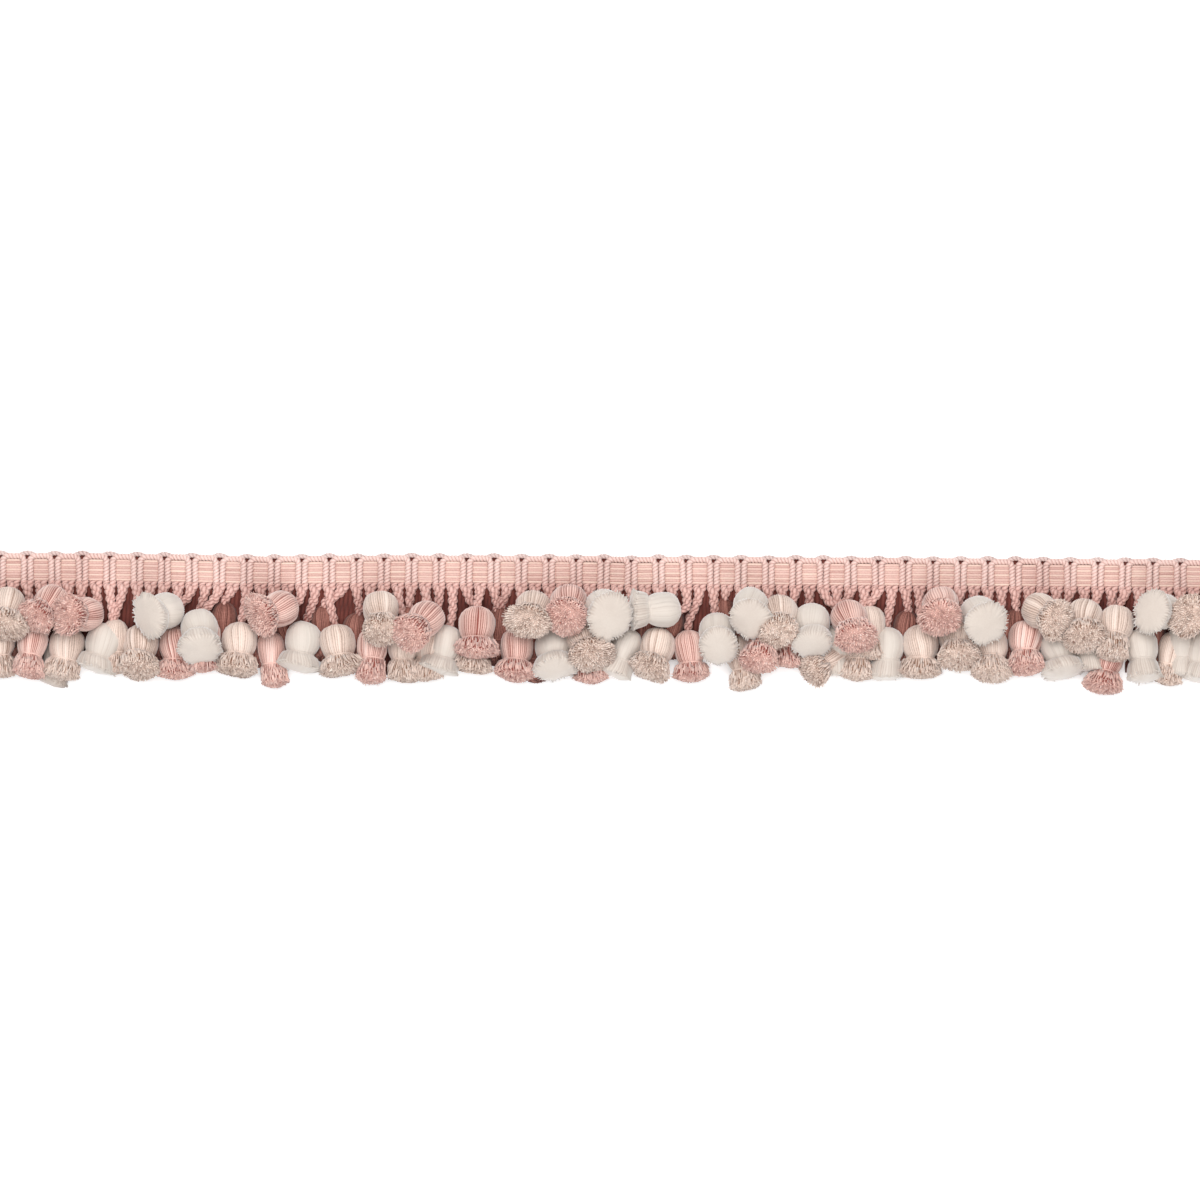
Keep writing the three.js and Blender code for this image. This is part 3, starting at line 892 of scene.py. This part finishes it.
def leg_routes(tassel):
    """The routes of the two legs of a loop."""
    middle = middle_line(tassel)
    length = (len(middle) - 1) * RING_STEP
    closing = min(LEG["closing"], CLOSED_BY * length)
    routes = []
    for sign in (-1, 1):
        route = []
        for i, point in enumerate(middle):
            share = min(max((i * RING_STEP - LEG["straight"]) / closing, 0), 1)
            share = share * share * (3 - 2 * share)  # eases in and out
            apart = between(LEG["spread"], LEG["closed"], share)
            across, square = square_to(middle, i)
            angle = -FULL_TURN * share * i * RING_STEP / LEG["turn_length"]
            offset = across * math.cos(angle) + square * math.sin(angle)
            route.append(point + offset * apart * sign)
        routes.append(route)
    return routes


legs = []
for tassel in sorted(tassels, key=lambda t: t["loop"]):
    shade_down = dice.uniform(*LEG_SHADE)
    legs += [cord(route, LEG_RADIUS, LEG_TAPER, shade_down, segments=10) for route in leg_routes(tassel)]
piece("hanging_loops", gather(legs), "loop", nodes=["loops"])
print(f"{len(tassels)} loops, {counts['hanging_loops']} triangles")

# %% [markdown]
# Behind the loops hang more of the same cord, out of the light, and coloured a deep red that is painted
# shade. They close the gaps between the loops and between the tassels with a dark curtain of cord, and stop
# short of the cut ends of the lower tassels, so that they never show below the pile. They are coarse, since
# nothing of them is seen but colour.

# %% Hang the back loops
BACK = {"pitch": 1.75, "from": -4.8, "height": 1.2, "radius": 1.2, "step": 1.5, "lay": 20}
SWAY, UNEVEN_END = 0.3, 0.5
LOWER_ROW = -30.0
NEAR, SHORT_OF = 7.0, 2.5  # which cut ends count, and how far above them it stops
cut_ends = [tassel["middle"] - tassel["up"] * (tassel["long"] - BULB_HALF) for tassel in tassels]
first_x, last_x = min(t["middle"].x for t in tassels), max(t["middle"].x for t in tassels)


def lowest(x):
    """How far down a back loop hangs at x."""
    near = [end.y for end in cut_ends if abs(end.x - x) < NEAR and end.y < LOWER_ROW]
    return max(near, default=LOWER_ROW) + SHORT_OF


curtain = []
for i in range(1, round((last_x - first_x) / BACK["pitch"])):
    x = first_x + BACK["pitch"] * i
    sway, low_end = stray(SWAY), lowest(x) + stray(UNEVEN_END)
    route = [(x, BACK["from"] + line(x), BACK["height"]), (x + sway, low_end, BACK["height"])]
    curtain.append(cord(route, BACK["radius"], segments=6, step=BACK["step"], pinch=0, lay=BACK["lay"]))
piece("back_loops", gather(curtain), "loop", finish["shaded"])
print(f"{len(curtain)} back loops, {counts['back_loops']} triangles")

# %% [markdown]
# ## Studio
# A white floor and large soft lights, as for a catalogue. The main light comes from beyond the heading, and
# a weaker one fills from the other side. The floor is white enough to burn out, so only the trim is seen.


# %% Floor and lights
def plain(name, shade, glow):
    """A plain matt white that also gives off a little light."""
    material = bpy.data.materials.new(name)
    material.use_nodes = True
    shader = material.node_tree.nodes["Principled BSDF"]
    shader.inputs["Base Color"].default_value = (shade, shade, shade, 1)
    shader.inputs["Roughness"].default_value = 0.9
    shader.inputs["Emission Color"].default_value = (1, 1, 1, 1)
    shader.inputs["Emission Strength"].default_value = glow
    return material


FLOOR_HALF = 4.0
bm = bmesh.new()
bmesh.ops.create_grid(bm, x_segments=1, y_segments=1, size=FLOOR_HALF)
floor_mesh = bpy.data.meshes.new("floor")
bm.to_mesh(floor_mesh)
bm.free()
floor_mesh.materials.append(plain("white floor", shade=0.9, glow=0.3))
floor = bpy.data.objects.new("floor", floor_mesh)
bpy.context.scene.collection.objects.link(floor)


def soft_light(name, place, size, watts):
    """A square area light that points at the trim."""
    data = bpy.data.lights.new(name, "AREA")
    data.size, data.energy = size, watts
    lamp = bpy.data.objects.new(name, data)
    lamp.location = place
    lamp.rotation_euler = (-Vector(place)).to_track_quat("-Z", "Y").to_euler()
    lamp.visible_camera = False
    bpy.context.scene.collection.objects.link(lamp)


LIGHT_SIZE = 1.8
AMBIENT = 0.4
soft_light("main", (-0.3, 0.9, 2.2), LIGHT_SIZE, watts=48)
soft_light("fill", (0.4, -1.3, 2.0), LIGHT_SIZE, watts=30)
world = bpy.data.worlds.new("studio")
world.use_nodes = True
world.node_tree.nodes["Background"].inputs["Color"].default_value = (1, 1, 1, 1)
world.node_tree.nodes["Background"].inputs["Strength"].default_value = AMBIENT
bpy.context.scene.world = world
bpy.context.scene.view_settings.view_transform = "Standard"
print("floor, two lights and a pale surround")

# %% [markdown]
# ## Camera
# It looks straight down with a long lens, so that tassels far out to the sides are seen from above too. The
# trim lies a third of a degree off level.

# %% Aim the camera
FRAME_WIDTH = 480.8  # mm of the trim across the view
LENS, SENSOR = 180.0, 36.0
CAMERA_POINT = (-1.4, -11.8, 3.0)  # what it looks at, in millimetres
ROLL = 0.0059  # radians
camera_data = bpy.data.cameras.new("camera")
camera_data.lens, camera_data.sensor_width = LENS, SENSOR
camera_data.clip_end = 50
camera = bpy.data.objects.new("camera", camera_data)
distance = FRAME_WIDTH * LENS / SENSOR
camera.location = (Vector(CAMERA_POINT) + Vector((0, 0, distance))) * MM
camera.rotation_euler = (0, 0, ROLL)
bpy.context.scene.collection.objects.link(camera)
bpy.context.scene.camera = camera
print(f"camera {distance / 1000:.2f} m above the trim")

# %% [markdown]
# ## Pieces and triangles
# The yarn may stand a little proud of the CAD pieces, but no more. The pieces and their triangles are
# counted.

# %% Count the pieces and their triangles
print(f"{len(counts)} pieces, {sum(counts.values())} triangles, most {max(counts.values())}")
